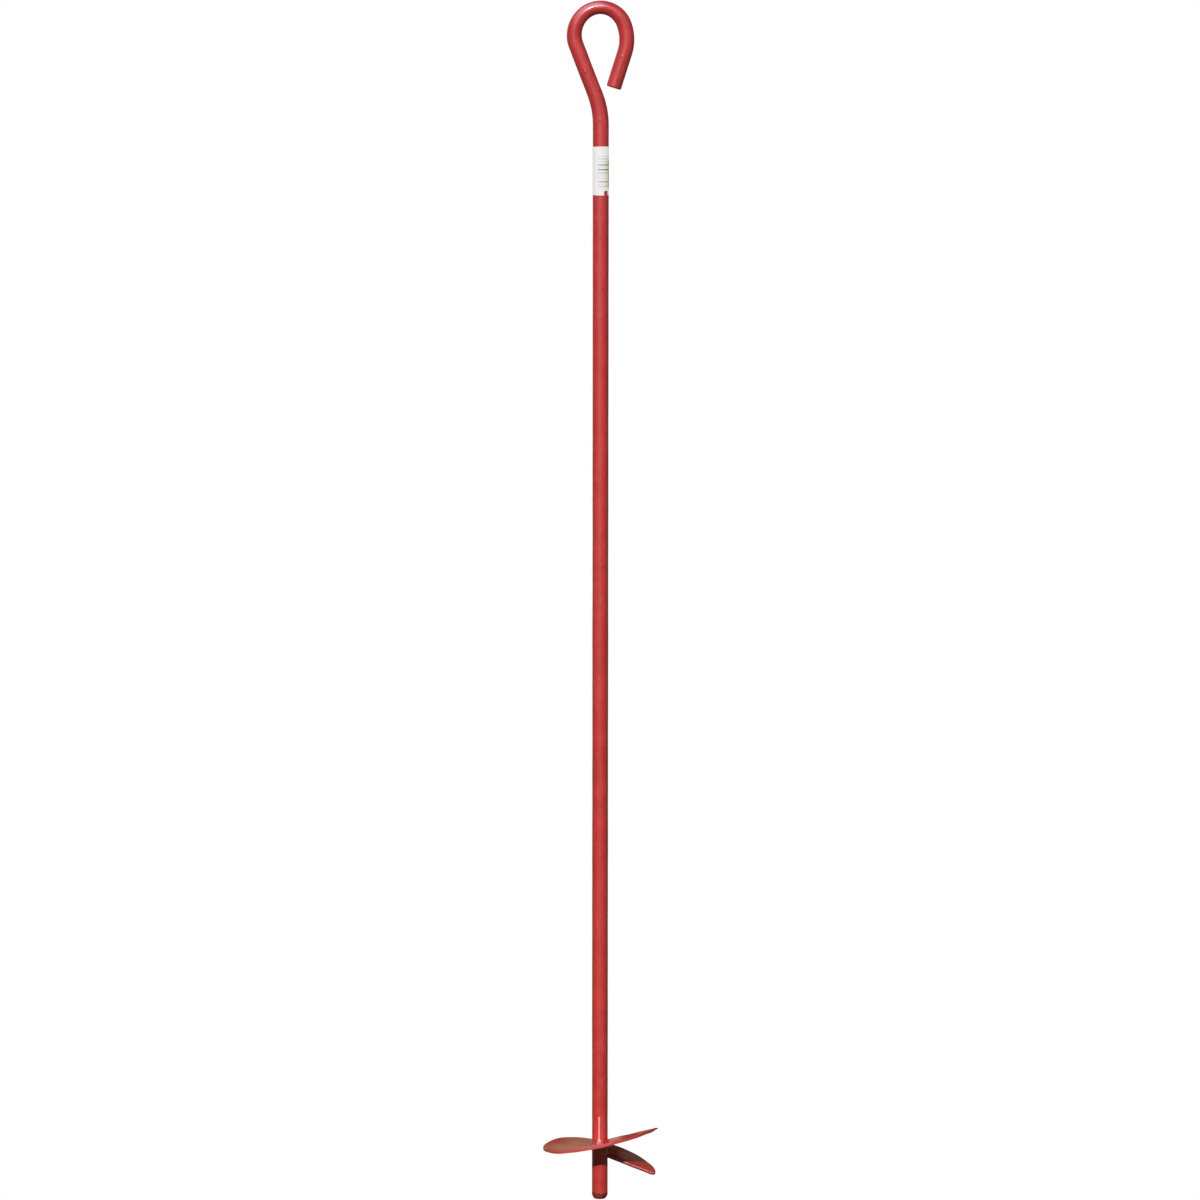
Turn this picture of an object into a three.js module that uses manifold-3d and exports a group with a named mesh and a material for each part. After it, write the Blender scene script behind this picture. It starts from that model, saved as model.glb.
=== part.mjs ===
// Screw-in earth anchor: a round steel bar with a one-turn helix plate welded
// near its foot and an eye bent into its head.
// Units are millimetres, +Z up. The origin is the centre of the flat face at
// the foot of the bar, and the bar's straight shank runs along +Z. The eye lies
// in the XZ plane and the slit of the helix faces +X.
// Angles round the bar are in degrees from +X towards +Y.
import * as THREE from "three";
import { mergeVertices } from "three/addons/utils/BufferGeometryUtils.js";
import Module from "manifold-3d";

const { clamp, degToRad, lerp, mapLinear, radToDeg, smoothstep } = THREE.MathUtils;

// ---- driving dimensions -------------------------------------------------
const TOTAL_HEIGHT = 1016; // foot to the top of the eye, 40 in nominal
const BAR_D = 13.4; // half-inch class bar, over its enamel
const BAR_R = BAR_D / 2;
const BAR_SIDES = 36; // facets round the bar

// Blunt rounded foot: [radius, height]
const FOOT_PROFILE = [
  [4.7, 0],
  [5.75, 1.2],
  [6.45, 2.6],
  [BAR_R, 4.2],
];

// Centreline of the bar above the shank, upward from the shank and round the
// loop to the free end. Arcs turn left when positive, seen from -Y.
const SHANK_STEPS = 6;
const NECK_STEPS = 5;
const EYE_PIECES = [
  arc({ radius: 72.9, sweep: 21.2, steps: NECK_STEPS }), // neck, bending to -X
  straight(43.5, 2),
  arc({ radius: 23.4, sweep: -77.4, steps: 9 }), // -X side of the loop
  arc({ radius: 20.8, sweep: -101.7, steps: 12 }), // over the top, down the +X side
  arc({ radius: 36.2, sweep: -39.8, steps: 5 }), // run-out into the free leg
  straight(30.7, 2), // free leg
];
const EYE_THIN = 0.945; // the drawn-down eye bar, in the plane of the eye
const CROWN_THIN = 0.835; // flattened over the top of the loop
const CROWN_HEADING = degToRad(8); // bar's direction, up from +X, where it is thinnest
const EYE_SWELL = 0.35; // share of the thinning that widens the bar along Y
const LEG_CHAMFER = 0.9; // broken edge round the free end's cut face

// Helix plate: a slit disc pulled apart into one right-hand turn
const PLATE_T = 2.6;
const PLATE_R = 48.0;
const PLATE_OFFSET_X = -0.4; // the rim sits a little off the bar's centre
const PLATE_START = -2.6; // lower cut edge
const PLATE_END = PLATE_START + 360; // upper cut edge
const PLATE_CORNER_R = 5; // rounded lower corner
const HUB_HOLE_R = BAR_R + 0.35;
const PLATE_RINGS = [HUB_HOLE_R, 16, 27, 37, PLATE_R - 4.5, 45.4, 47.0, PLATE_R];
const PLATE_TURN_STEPS = 72;

// The plate's upper corner stands out past the rim and is thinned from below.
const FLARE = 1.3;
const FLARE_START = 315; // angle
const TIP_THIN = 1.54; // taken off the underside, in half thicknesses
const TIP_START = 330; // angle
const TIP_INNER = 0.45; // where the thinning starts, as a fraction from hub to rim

// Mid-surface heights: at the hub, where it climbs evenly, and at the rim
const HUB_START_Z = 36.1;
const HUB_END_Z = 50.2;
// [angle, height]
const RIM_HEIGHTS = [
  [0, 20.8], [24, 23.8], [50, 29.1], [75, 35.1], [98, 40.3], [120, 43.0],
  [140, 43.9], [160, 43.2], [180, 43.4], [200, 44.5], [220, 46.2], [246, 50.1],
  [270, 54.6], [292, 58.7], [312, 61.1], [330, 62.6], [345, 62.2], [PLATE_END, 59.6],
];

// Fillet welds between the plate and the bar, heavy on the +Y and -Y sides and
// thinning to a seam on the -X side.
// leg: along the plate; rise: up or down the bar; sizes: [angle, scale of both]
const UPPER_WELD = {
  side: 1,
  leg: 3.3,
  rise: 4.6,
  sizes: [
    [4, 0.3], [40, 0.8], [90, 0.95], [140, 0.7], [165, 0.3], [200, 0.26],
    [228, 0.7], [252, 1], [290, 0.8], [325, 0.42], [351, 0.3],
  ],
};
const LOWER_WELD = {
  side: -1,
  leg: 3.3,
  rise: 4.4,
  sizes: [
    [4, 0.3], [40, 0.6], [90, 0.95], [140, 0.7], [165, 0.3], [200, 0.26],
    [228, 0.6], [260, 0.95], [351, 0.9],
  ],
};
const WELD_GAP = 0.3; // clearance to the plate's face
const WELD_LIP = 0.35; // outer edge height of a bead of size 0
const WELD_LIP_GROWTH = 0.35; // added to that height at size 1
const WELD_HOLLOW = 1.7; // exponent of the concave face

// Wrap-round label
const LABEL_BOTTOM = 854.0;
const LABEL_TOP = 894.7;
const LABEL_IN_R = BAR_R + 0.15;
const LABEL_T = 0.25;
const LABEL_SEAM = -33.6; // angle where its ends meet
const LABEL_SEAM_W = 3; // degrees between the two ends
const NOTCH_W = 3.8; // missing lower corner at the seam
const NOTCH_H = 3.8;
const NOTCH_R = 0.9; // fillet in the notch's inner corner
const NOTCH_SLOPE = 0.2; // rise of the notch's upper edge towards the seam

// ---- shared helpers -----------------------------------------------------
const manifold = await Module();
manifold.setup();

function solid(geometry) {
  geometry.deleteAttribute("normal");
  geometry.deleteAttribute("uv");
  const merged = mergeVertices(geometry, 1e-3);
  return new manifold.Manifold(
    new manifold.Mesh({
      numProp: 3,
      vertProperties: new Float32Array(merged.attributes.position.array),
      triVerts: new Uint32Array(merged.index.array),
    }),
  );
}

function geometryOf(body) {
  const mesh = body.getMesh();
  const geometry = new THREE.BufferGeometry();
  geometry.setAttribute(
    "position",
    new THREE.BufferAttribute(new Float32Array(mesh.vertProperties), 3),
  );
  geometry.setIndex(new THREE.BufferAttribute(new Uint32Array(mesh.triVerts), 1));
  geometry.computeVertexNormals();
  return geometry;
}

// Bends a unit box by a function of three fractions: outward from the bar,
// round it, and up. The counts are the box's divisions in the same order.
function bentBox(outSteps, roundSteps, upSteps, pointAt) {
  const geometry = new THREE.BoxGeometry(1, 1, 1, outSteps, roundSteps, upSteps);
  const position = geometry.getAttribute("position");
  for (let i = 0; i < position.count; i++) {
    const point = pointAt(
      position.getX(i) + 0.5,
      position.getY(i) + 0.5,
      position.getZ(i) + 0.5,
    );
    position.setXYZ(i, point.x, point.y, point.z);
  }
  return geometry;
}

function polarPoint(radius, radians, z) {
  return new THREE.Vector3(radius * Math.cos(radians), radius * Math.sin(radians), z);
}

// Index of the table row that starts the span holding an angle. Angles outside
// the table fall to its first or last span.
function spanIndex(table, angle) {
  let i = 0;
  while (i < table.length - 2 && angle > table[i + 1][0]) i++;
  return i;
}

// ---- bar and eye --------------------------------------------------------
function straight(length, steps) {
  return { length, turn: 0, steps };
}

function arc({ radius, sweep, steps }) {
  return { length: radius * degToRad(Math.abs(sweep)), turn: degToRad(sweep), steps };
}

// Walks the centreline up from the foot and returns stations {x, z, heading},
// with the heading in radians from +X towards +Z.
function walkBar(shankLength, refinement = 1) {
  let x = 0;
  let z = 0;
  let heading = Math.PI / 2;
  const stations = [{ x, z, heading }];
  for (const piece of [straight(shankLength, SHANK_STEPS), ...EYE_PIECES]) {
    const steps = piece.steps * refinement;
    const length = piece.length / steps;
    const turn = piece.turn / steps;
    // chord of the arc, so the stations lie exactly on the curve
    const chord = turn === 0 ? length : 2 * (length / turn) * Math.sin(turn / 2);
    for (let i = 0; i < steps; i++) {
      x += chord * Math.cos(heading + turn / 2);
      z += chord * Math.sin(heading + turn / 2);
      heading += turn;
      stations.push({ x, z, heading });
    }
  }
  return stations;
}

// The loop's highest centreline point sits half the crown's thickness under
// the top of the eye.
function shankLength() {
  const eyeRise = Math.max(...walkBar(0, 40).map((station) => station.z));
  return TOTAL_HEIGHT - BAR_R * CROWN_THIN - eyeRise;
}

// Extrusion path whose evenly spaced parameters land on the stations.
class BarPath extends THREE.Curve {
  constructor(stations) {
    super();
    this.stations = stations;
  }
  stationAt(fraction) {
    return this.stations[Math.round(fraction * (this.stations.length - 1))];
  }
  getPointAt(fraction) {
    const { x, z } = this.stationAt(fraction);
    return new THREE.Vector3(x, 0, z);
  }
  getTangentAt(fraction) {
    const { heading } = this.stationAt(fraction);
    return new THREE.Vector3(Math.cos(heading), 0, Math.sin(heading));
  }
}

// Bar thickness in the plane of the eye, as a fraction: drawn down through the
// neck bend, and most of all over the crown.
function thicknessAt(heading, index) {
  const drawn = smoothstep(index, SHANK_STEPS, SHANK_STEPS + NECK_STEPS);
  const crown = Math.cos(clamp(heading - CROWN_HEADING, -Math.PI / 2, Math.PI / 2));
  return 1 - drawn * (1 - EYE_THIN + (EYE_THIN - CROWN_THIN) * crown ** 2);
}

// Bar width along Y that goes with a thickness, both as fractions.
function widthFor(thickness) {
  return 1 + (1 - thickness) * EYE_SWELL;
}

// Thins each section of the extruded bar about its own station.
function drawDown(geometry, stations) {
  const position = geometry.getAttribute("position");
  for (let i = 0; i < position.count; i++) {
    const vertex = new THREE.Vector3().fromBufferAttribute(position, i);
    for (const [index, station] of stations.entries()) {
      const tangentX = Math.cos(station.heading);
      const tangentZ = Math.sin(station.heading);
      const offsetX = vertex.x - station.x;
      const offsetZ = vertex.z - station.z;
      const along = offsetX * tangentX + offsetZ * tangentZ;
      const across = offsetX * tangentZ - offsetZ * tangentX;
      const inSection = Math.abs(along) <= 1e-3 && Math.abs(across) <= BAR_R * 1.01;
      if (!inSection) continue;
      const thickness = thicknessAt(station.heading, index);
      position.setXYZ(
        i,
        station.x + across * thickness * tangentZ,
        vertex.y * widthFor(thickness),
        station.z - across * thickness * tangentX,
      );
      break;
    }
  }
}

function makeBarBlank(stations) {
  const corners = Array.from({ length: BAR_SIDES }, (_, i) => {
    const angle = (2 * Math.PI * i) / BAR_SIDES;
    return new THREE.Vector2(BAR_R * Math.cos(angle), BAR_R * Math.sin(angle));
  });
  const geometry = new THREE.ExtrudeGeometry(new THREE.Shape(corners), {
    steps: stations.length - 1,
    extrudePath: new BarPath(stations),
    bevelEnabled: false,
  });
  drawDown(geometry, stations);
  return solid(geometry);
}

// Cutting ring that trims a bar end to a [radius, height] profile. The end's
// cut face is at z = 0 and its bar runs up +Z. The profile's first and last
// slopes are carried on past the bar so that the cut is clean.
function endRing(profile) {
  const below = 1.5;
  const outside = 4;
  const last = profile.length - 1;
  const slope = (i) =>
    (profile[i + 1][0] - profile[i][0]) / (profile[i + 1][1] - profile[i][1]);
  const lowPoint = [profile[0][0] - slope(0) * below, -below];
  const outline = [
    lowPoint,
    [BAR_R + outside, -below],
    [BAR_R + outside, profile[last][1] + outside / slope(last - 1)],
    ...profile.slice(1, last).reverse(),
    lowPoint,
  ];
  const ring = new THREE.LatheGeometry(
    outline.map(([radius, height]) => new THREE.Vector2(radius, height)),
    BAR_SIDES,
    Math.PI / 2,
  );
  ring.rotateX(Math.PI / 2); // lathe axis to +Z
  return ring;
}

// Chamfering ring, scaled to the drawn-down bar and set on the free end.
function makeLegRing({ x, z, heading }) {
  const ring = endRing([
    [BAR_R - LEG_CHAMFER, 0],
    [BAR_R, LEG_CHAMFER],
  ]);
  ring.scale(EYE_THIN, widthFor(EYE_THIN), 1);
  ring.rotateY(-Math.PI / 2 - heading);
  ring.translate(x, 0, z);
  return ring;
}

function makeEyeRod() {
  const stations = walkBar(shankLength());
  const footRing = solid(endRing(FOOT_PROFILE));
  const legRing = solid(makeLegRing(stations[stations.length - 1]));
  return geometryOf(makeBarBlank(stations).subtract(footRing).subtract(legRing));
}

// ---- helix plate --------------------------------------------------------
// Monotone cubic through [x, y] rows, carried on straight past both ends.
function monotoneCubic(table) {
  const last = table.length - 1;
  const widths = [];
  const slopes = [];
  for (let i = 0; i < last; i++) {
    widths.push(table[i + 1][0] - table[i][0]);
    slopes.push((table[i + 1][1] - table[i][1]) / widths[i]);
  }
  const tangents = table.map((_, i) => {
    if (i === 0) return slopes[0];
    if (i === last) return slopes[last - 1];
    if (slopes[i - 1] * slopes[i] <= 0) return 0;
    const weightBefore = 2 * widths[i] + widths[i - 1];
    const weightAfter = widths[i] + 2 * widths[i - 1];
    return (
      (weightBefore + weightAfter) /
      (weightBefore / slopes[i - 1] + weightAfter / slopes[i])
    );
  });

  return (x) => {
    const i = spanIndex(table, x);
    const [startX, startY] = table[i];
    const [endX, endY] = table[i + 1];
    const t = (x - startX) / widths[i];
    if (t < 0) return startY + tangents[i] * (x - startX);
    if (t > 1) return endY + tangents[i + 1] * (x - endX);
    return (
      startY * (1 + 2 * t) * (1 - t) ** 2 +
      widths[i] * tangents[i] * t * (1 - t) ** 2 +
      endY * t * t * (3 - 2 * t) +
      widths[i] * tangents[i + 1] * t * t * (t - 1)
    );
  };
}
const rimHeight = monotoneCubic(RIM_HEIGHTS);

// 0 at the hub hole, 1 at the rim
function rimFraction(radius) {
  return (radius - HUB_HOLE_R) / (PLATE_R - HUB_HOLE_R);
}

// Height of the plate's mid-surface.
function midHeight(radius, angle) {
  const hubHeight = mapLinear(angle, PLATE_START, PLATE_END, HUB_START_Z, HUB_END_Z);
  return lerp(hubHeight, rimHeight(angle), rimFraction(radius));
}

// Half of the plate's thickness measured upright, which grows on a slope.
function halfUpright(radius, angle) {
  const slopeOut = (midHeight(radius + 0.1, angle) - midHeight(radius - 0.1, angle)) / 0.2;
  const slopeRound =
    (midHeight(radius, angle + 0.5) - midHeight(radius, angle - 0.5)) /
    (degToRad(1) * radius);
  return (PLATE_T / 2) * Math.sqrt(1 + slopeOut ** 2 + slopeRound ** 2);
}

// Point on the plate's upper (side 1) or lower (side -1) face.
function platePoint(radius, angle, side) {
  const fraction = rimFraction(radius);
  const flare = FLARE * smoothstep(angle, FLARE_START, PLATE_END) * fraction ** 2;
  const tip =
    side < 0
      ? smoothstep(angle, TIP_START, PLATE_END) * smoothstep(fraction, TIP_INNER, 1)
      : 0;
  const z = midHeight(radius, angle) + side * halfUpright(radius, angle) * (1 - TIP_THIN * tip);
  const point = polarPoint(radius + flare, degToRad(angle), z);
  point.x += PLATE_OFFSET_X * fraction;
  return point;
}

function makePlate() {
  const ringSteps = PLATE_RINGS.length - 1;
  return bentBox(ringSteps, PLATE_TURN_STEPS, 1, (out, round, up) => {
    const radius = PLATE_RINGS[Math.round(out * ringSteps)];
    // the lower cut edge draws back round its outer corner
    const pastCorner = Math.max(0, radius - (PLATE_R - PLATE_CORNER_R));
    const inset = PLATE_CORNER_R - Math.sqrt(PLATE_CORNER_R ** 2 - pastCorner ** 2);
    const start = PLATE_START + radToDeg(inset / radius);
    return platePoint(radius, start + (PLATE_END - start) * round, up > 0.5 ? 1 : -1);
  });
}

// ---- fillet welds -------------------------------------------------------
// Weld size at an angle, eased between the table's rows.
function weldSize(sizes, angle) {
  const i = spanIndex(sizes, angle);
  const [startAngle, startSize] = sizes[i];
  const [endAngle, endSize] = sizes[i + 1];
  const t = (angle - startAngle) / (endAngle - startAngle);
  return startSize + (endSize - startSize) * t * t * (3 - 2 * t);
}

// A concave bead in the corner between the bar and one face of the plate.
function makeWeld({ side, leg, rise, sizes }) {
  const start = sizes[0][0];
  const end = sizes[sizes.length - 1][0];
  return bentBox(4, 60, 1, (out, round, up) => {
    const angle = start + (end - start) * round;
    const size = weldSize(sizes, angle);
    const radius = HUB_HOLE_R + leg * size * out;
    const lip = WELD_LIP + WELD_LIP_GROWTH * size;
    const height = lip + (rise * size - lip) * (1 - out) ** WELD_HOLLOW;
    const fromPlate = side > 0 ? up : 1 - up;
    const offset = halfUpright(radius, angle) + WELD_GAP + height * fromPlate;
    return polarPoint(radius, degToRad(angle), midHeight(radius, angle) + side * offset);
  });
}

// ---- label --------------------------------------------------------------
// Rows up the film: [height over its lower edge, how far the row stops short
// of the seam]. The two middle rows of the fillet approximate its arc.
const LABEL_ROWS = [
  [0, NOTCH_W],
  [NOTCH_H - NOTCH_R, NOTCH_W],
  [NOTCH_H - 0.45 * NOTCH_R, NOTCH_W - 0.13 * NOTCH_R],
  [NOTCH_H - 0.13 * NOTCH_R, NOTCH_W - 0.45 * NOTCH_R],
  [NOTCH_H, NOTCH_W - NOTCH_R],
  [NOTCH_H + NOTCH_SLOPE, 0],
  [LABEL_TOP - LABEL_BOTTOM, 0],
];

function makeLabel() {
  const rowSteps = LABEL_ROWS.length - 1;
  const start = degToRad(LABEL_SEAM + LABEL_SEAM_W / 2);
  const fullEnd = degToRad(LABEL_SEAM + 360 - LABEL_SEAM_W / 2);
  return bentBox(1, 48, rowSteps, (out, round, up) => {
    const radius = LABEL_IN_R + LABEL_T * out;
    const [rise, inset] = LABEL_ROWS[Math.round(up * rowSteps)];
    const end = fullEnd - inset / radius;
    return polarPoint(radius, start + (end - start) * round, LABEL_BOTTOM + rise);
  });
}

// ---- materials ----------------------------------------------------------
function enamel(color, roughness) {
  return new THREE.MeshStandardMaterial({ color, roughness, metalness: 0.1 });
}

const barEnamel = enamel(0xbe3c32, 0.38);
const plateEnamel = enamel(0xb8382e, 0.4);
const weldEnamel = enamel(0xa8332b, 0.45);
const labelFilm = new THREE.MeshStandardMaterial({
  color: 0xe8e6e2,
  roughness: 0.55,
  metalness: 0,
});

// ---- assembly -----------------------------------------------------------
const group = new THREE.Group();

function addPiece(name, geometry, material) {
  const mesh = new THREE.Mesh(geometry, material);
  mesh.name = name;
  group.add(mesh);
}

addPiece("eye_rod", makeEyeRod(), barEnamel);
addPiece("helix_plate", makePlate(), plateEnamel);
addPiece("upper_weld_bead", makeWeld(UPPER_WELD), weldEnamel);
addPiece("lower_weld_bead", makeWeld(LOWER_WELD), weldEnamel);
addPiece("barcode_label", makeLabel(), labelFilm);

export default group;
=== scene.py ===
"""A red enamelled ground anchor: a round bar with an open eye at its top and one turn
of helix plate welded on near its foot, with a label wrapped round the bar.

The bar stands on the origin along +Z. The eye lies in the XZ plane, the slit of the
helix faces +X, and the camera looks along +Y, so -Y is the front and +X the right.
Lengths are in millimetres until make_object turns them into metres; angles round the
bar are in degrees from +X towards +Y.
"""
import math

import bpy
import numpy as np
from mathutils import Euler, Matrix, Vector


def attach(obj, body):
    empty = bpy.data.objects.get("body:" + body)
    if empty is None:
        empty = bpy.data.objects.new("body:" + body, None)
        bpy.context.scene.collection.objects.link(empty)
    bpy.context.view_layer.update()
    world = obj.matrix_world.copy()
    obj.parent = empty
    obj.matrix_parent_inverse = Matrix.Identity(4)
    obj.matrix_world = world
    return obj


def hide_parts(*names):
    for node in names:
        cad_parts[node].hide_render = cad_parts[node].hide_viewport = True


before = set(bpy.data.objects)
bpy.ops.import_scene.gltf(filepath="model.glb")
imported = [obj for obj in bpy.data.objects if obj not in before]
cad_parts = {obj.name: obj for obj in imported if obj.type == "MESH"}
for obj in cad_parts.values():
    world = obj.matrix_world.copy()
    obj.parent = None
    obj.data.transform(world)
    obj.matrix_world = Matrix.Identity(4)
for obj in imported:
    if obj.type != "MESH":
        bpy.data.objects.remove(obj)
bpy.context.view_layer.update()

MM = 0.001

# =====================================================================
# driving dimensions
# =====================================================================
TOTAL_HEIGHT = 1016.0
BAR_R = 6.7
# height above the foot, radius: the cropped lower end
FOOT_PROFILE = (
    (0, 4.7), (1.2, 5.75), (2.6, 6.45), (4.2, BAR_R), (7.0, BAR_R), (9.0, BAR_R),
)
FOOT_ZONE = 8.0  # above this the bar has its full radius
# bends as centreline radius, degrees: the neck turns to -X, the loop back over to +X
NECK = (72.9, 21.2)
NECK_STRAIGHT = 43.5
LOOP = ((23.4, 77.4), (20.8, 101.7), (36.2, 39.8))
LEG_STRAIGHT = 30.7
# width of the drawn bar in the plane of the eye, against its full width
EYE_THIN = 0.945
CROWN_THIN = 0.835
END_ROUND_R = 1.25  # edge round of the bar's free end

PLATE_T = 2.6
HALF_T = PLATE_T / 2
PLATE_R = 48.0
PLATE_OFFSET_X = -0.4
PLATE_START = -2.6
PLATE_END = PLATE_START + 360
PLATE_TIP_FLARE = 2.2
PLATE_CORNER_R = 5.0  # lower corner, at the start of the turn
TIP_CORNER_R = 0.35  # upper corner, at its end
HUB_R = 7.05
HUB_HEIGHT = (36.1, 50.2)
# angle round the bar, height of the rim's mid-surface
RIM = (
    (0, 20.8), (24, 23.8), (50, 29.1), (75, 35.1), (98, 40.3), (120, 43.0),
    (140, 43.9), (160, 43.2), (180, 43.4), (200, 44.5), (220, 46.2),
    (246, 50.1), (270, 54.6), (292, 58.7), (312, 61.1), (330, 62.6),
    (345, 62.2), (PLATE_END, 59.6),
)

WELD_LEG = 3.3  # reach of a full-size bead out over the plate
WELD_ARC_R = 8.5  # radius at which a bead's length is measured
# angle round the bar, size of the bead against full size
UPPER_WELD = (
    (1, 0.3), (40, 0.8), (90, 0.95), (140, 0.7), (165, 0.3), (200, 0.26), (228, 0.7),
    (252, 1), (285, 0.8), (325, 0.38), (354, 0.28),
)
LOWER_WELD = (
    (1, 0.3), (40, 0.6), (90, 0.95), (140, 0.7), (165, 0.3), (200, 0.26), (228, 0.6),
    (260, 0.95), (354, 0.9),
)

LABEL_BOTTOM, LABEL_TOP = 854.0, 894.7
LABEL_HEIGHT = LABEL_TOP - LABEL_BOTTOM
LABEL_SEAM = -33.6
LABEL_HALF_GAP = 1.2  # degrees
LABEL_THICKNESS = 0.11
NOTCH_W, NOTCH_H, NOTCH_R = 3.8, 3.8, 0.9  # cut from the lower corner at the seam

# mesh density
SIDES = 88
SHANK_STEP, EYE_STEP = 1.0, 0.62
PLATE_ROWS, PLATE_COLUMNS = 44, 339
WELD_STATIONS, WELD_COLUMNS = 620, 15
LABEL_COLUMNS = 260


# =====================================================================
# helpers
# =====================================================================
def smooth(value, low, high):
    """Smoothstep from 0 at low to 1 at high."""
    t = np.clip((np.asarray(value, float) - low) / (high - low), 0, 1)
    return t * t * (3 - 2 * t)


def turn_from(degrees, origin):
    """Signed angle from origin, within half a turn."""
    return (degrees - origin + 180) % 360 - 180


class Waves:
    """A smooth seeded noise over the plane: a sum of plane waves."""

    def __init__(self, seed, period, count=14, spread=2.2):
        draws = np.random.default_rng(seed)
        number = 2 * np.pi / (period * draws.uniform(1 / spread, spread, count))
        heading = draws.uniform(0, 2 * np.pi, count)
        phase = draws.uniform(0, 2 * np.pi, count)
        self.waves = list(zip(number * np.cos(heading), number * np.sin(heading), phase))
        self.norm = math.sqrt(count / 2)

    def __call__(self, x, y):
        x, y = np.broadcast_arrays(np.asarray(x, float), np.asarray(y, float))
        total = np.zeros(x.shape)
        for wave_x, wave_y, phase in self.waves:
            total += np.sin(wave_x * x + wave_y * y + phase)
        return total / self.norm


def pchip(points):
    """Monotone cubic through (x, y) points, carried on straight past both ends."""
    xs, ys = np.array(points, float).T
    widths = np.diff(xs)
    rates = np.diff(ys) / widths
    slopes = np.zeros(len(xs))
    slopes[0], slopes[-1] = rates[0], rates[-1]
    for i in range(1, len(xs) - 1):
        if rates[i - 1] * rates[i] > 0:
            before = 2 * widths[i] + widths[i - 1]
            after = widths[i] + 2 * widths[i - 1]
            slopes[i] = (before + after) / (before / rates[i - 1] + after / rates[i])

    def curve(x):
        x = np.asarray(x, float)
        i = np.clip(np.searchsorted(xs, x, side="right") - 1, 0, len(widths) - 1)
        t = (x - xs[i]) / widths[i]
        inside = (
            ys[i] * (1 + 2 * t) * (1 - t) ** 2
            + widths[i] * slopes[i] * t * (1 - t) ** 2
            + ys[i + 1] * t * t * (3 - 2 * t)
            + widths[i] * slopes[i + 1] * t * t * (t - 1)
        )
        below = ys[0] + slopes[0] * (x - xs[0])
        above = ys[-1] + slopes[-1] * (x - xs[-1])
        return np.where(x < xs[0], below, np.where(x > xs[-1], above, inside))

    return curve


def link_object(name, data):
    ob = bpy.data.objects.new(name, data)
    bpy.context.scene.collection.objects.link(ob)
    return ob


def add_attribute(mesh, name, values):
    attribute = mesh.attributes.new(name, "FLOAT", "POINT")
    attribute.data.foreach_set("value", np.asarray(values).astype(np.float32))


def make_object(name, points, faces, surface_mm):
    """A smooth mesh from points in mm. surface_mm holds each point's place on the
    surface, kept as the attributes 'around' and 'along' for the materials."""
    mesh = bpy.data.meshes.new(name)
    mesh.from_pydata((np.asarray(points) * MM).tolist(), [], faces)
    mesh.validate(clean_customdata=False)
    for column, key in enumerate(("around", "along")):
        add_attribute(mesh, key, surface_mm[:, column])
    mesh.update()
    mesh.polygons.foreach_set("use_smooth", [True] * len(mesh.polygons))
    return link_object(name, mesh)


def grid_faces(rows, cols, close_cols, start=0, flip=False):
    """Quads over a rows x cols grid of vertices, columns closed or not."""
    faces = []
    for i in range(rows - 1):
        for j in range(cols if close_cols else cols - 1):
            row, above, following = start + i * cols, start + (i + 1) * cols, (j + 1) % cols
            quad = (row + j, row + following, above + following, above + j)
            faces.append(quad[::-1] if flip else quad)
    return faces


# =====================================================================
# the bar and its eye
# =====================================================================
def walk_eye(start_z, step):
    """Rows of x, z, heading, distance from the top of the shank to the free end."""
    radius, degrees = NECK
    chain = [(radius * math.radians(degrees), math.radians(degrees)), (NECK_STRAIGHT, 0.0)]
    for radius, degrees in LOOP:
        chain.append((radius * math.radians(degrees), -math.radians(degrees)))
    chain.append((LEG_STRAIGHT, 0.0))

    x, z, heading, distance = 0.0, start_z, math.pi / 2, 0.0
    rows = [(x, z, heading, distance)]
    for length, turn in chain:
        count = max(2, int(round(length / step)))
        arc, bend = length / count, turn / count
        chord = 2 * (arc / bend) * math.sin(bend / 2) if bend else arc
        for _ in range(count):
            x += chord * math.cos(heading + bend / 2)
            z += chord * math.sin(heading + bend / 2)
            heading += bend
            distance += arc
            rows.append((x, z, heading, distance))
    return np.array(rows)


def centreline():
    """Stations along the whole bar, the thinning at each and the shank's height."""
    rise = walk_eye(0.0, step=0.05)[:, 1].max()
    shank = TOTAL_HEIGHT - BAR_R * CROWN_THIN - rise
    # close stations up the crushed foot, then even ones up the shank
    foot_top = 6.6
    foot = np.linspace(0, foot_top, 27)
    count = int(round((shank - foot_top) / SHANK_STEP))
    heights = np.r_[foot[:-1], np.linspace(foot_top, shank, count + 1)[:-1]]
    straight = np.c_[
        np.zeros(len(heights)), heights, np.full(len(heights), math.pi / 2), heights
    ]
    eye = walk_eye(shank, EYE_STEP)
    eye[:, 3] += shank
    rows = np.vstack([straight, eye])
    # the bar thins as it is drawn into the eye, most of all near the crown, where
    # it has turned crown_turn degrees towards +X
    crown_turn = 82
    turned = np.degrees(rows[:, 2]) - 90
    drawn = smooth(rows[:, 3], shank + 6, shank + 40)
    off_crown = np.clip(np.radians(turned + crown_turn), -np.pi / 2, np.pi / 2)
    crown = np.cos(off_crown) ** 2
    thinning = 1 - drawn * (1 - EYE_THIN + (EYE_THIN - CROWN_THIN) * crown)
    return rows, thinning, shank


stations, thinning, SHANK = centreline()
LENGTH = stations[-1, 3]

ROUND = 2 * np.pi * np.arange(SIDES) / SIDES
ROUND_DEG = np.degrees(ROUND)

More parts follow.
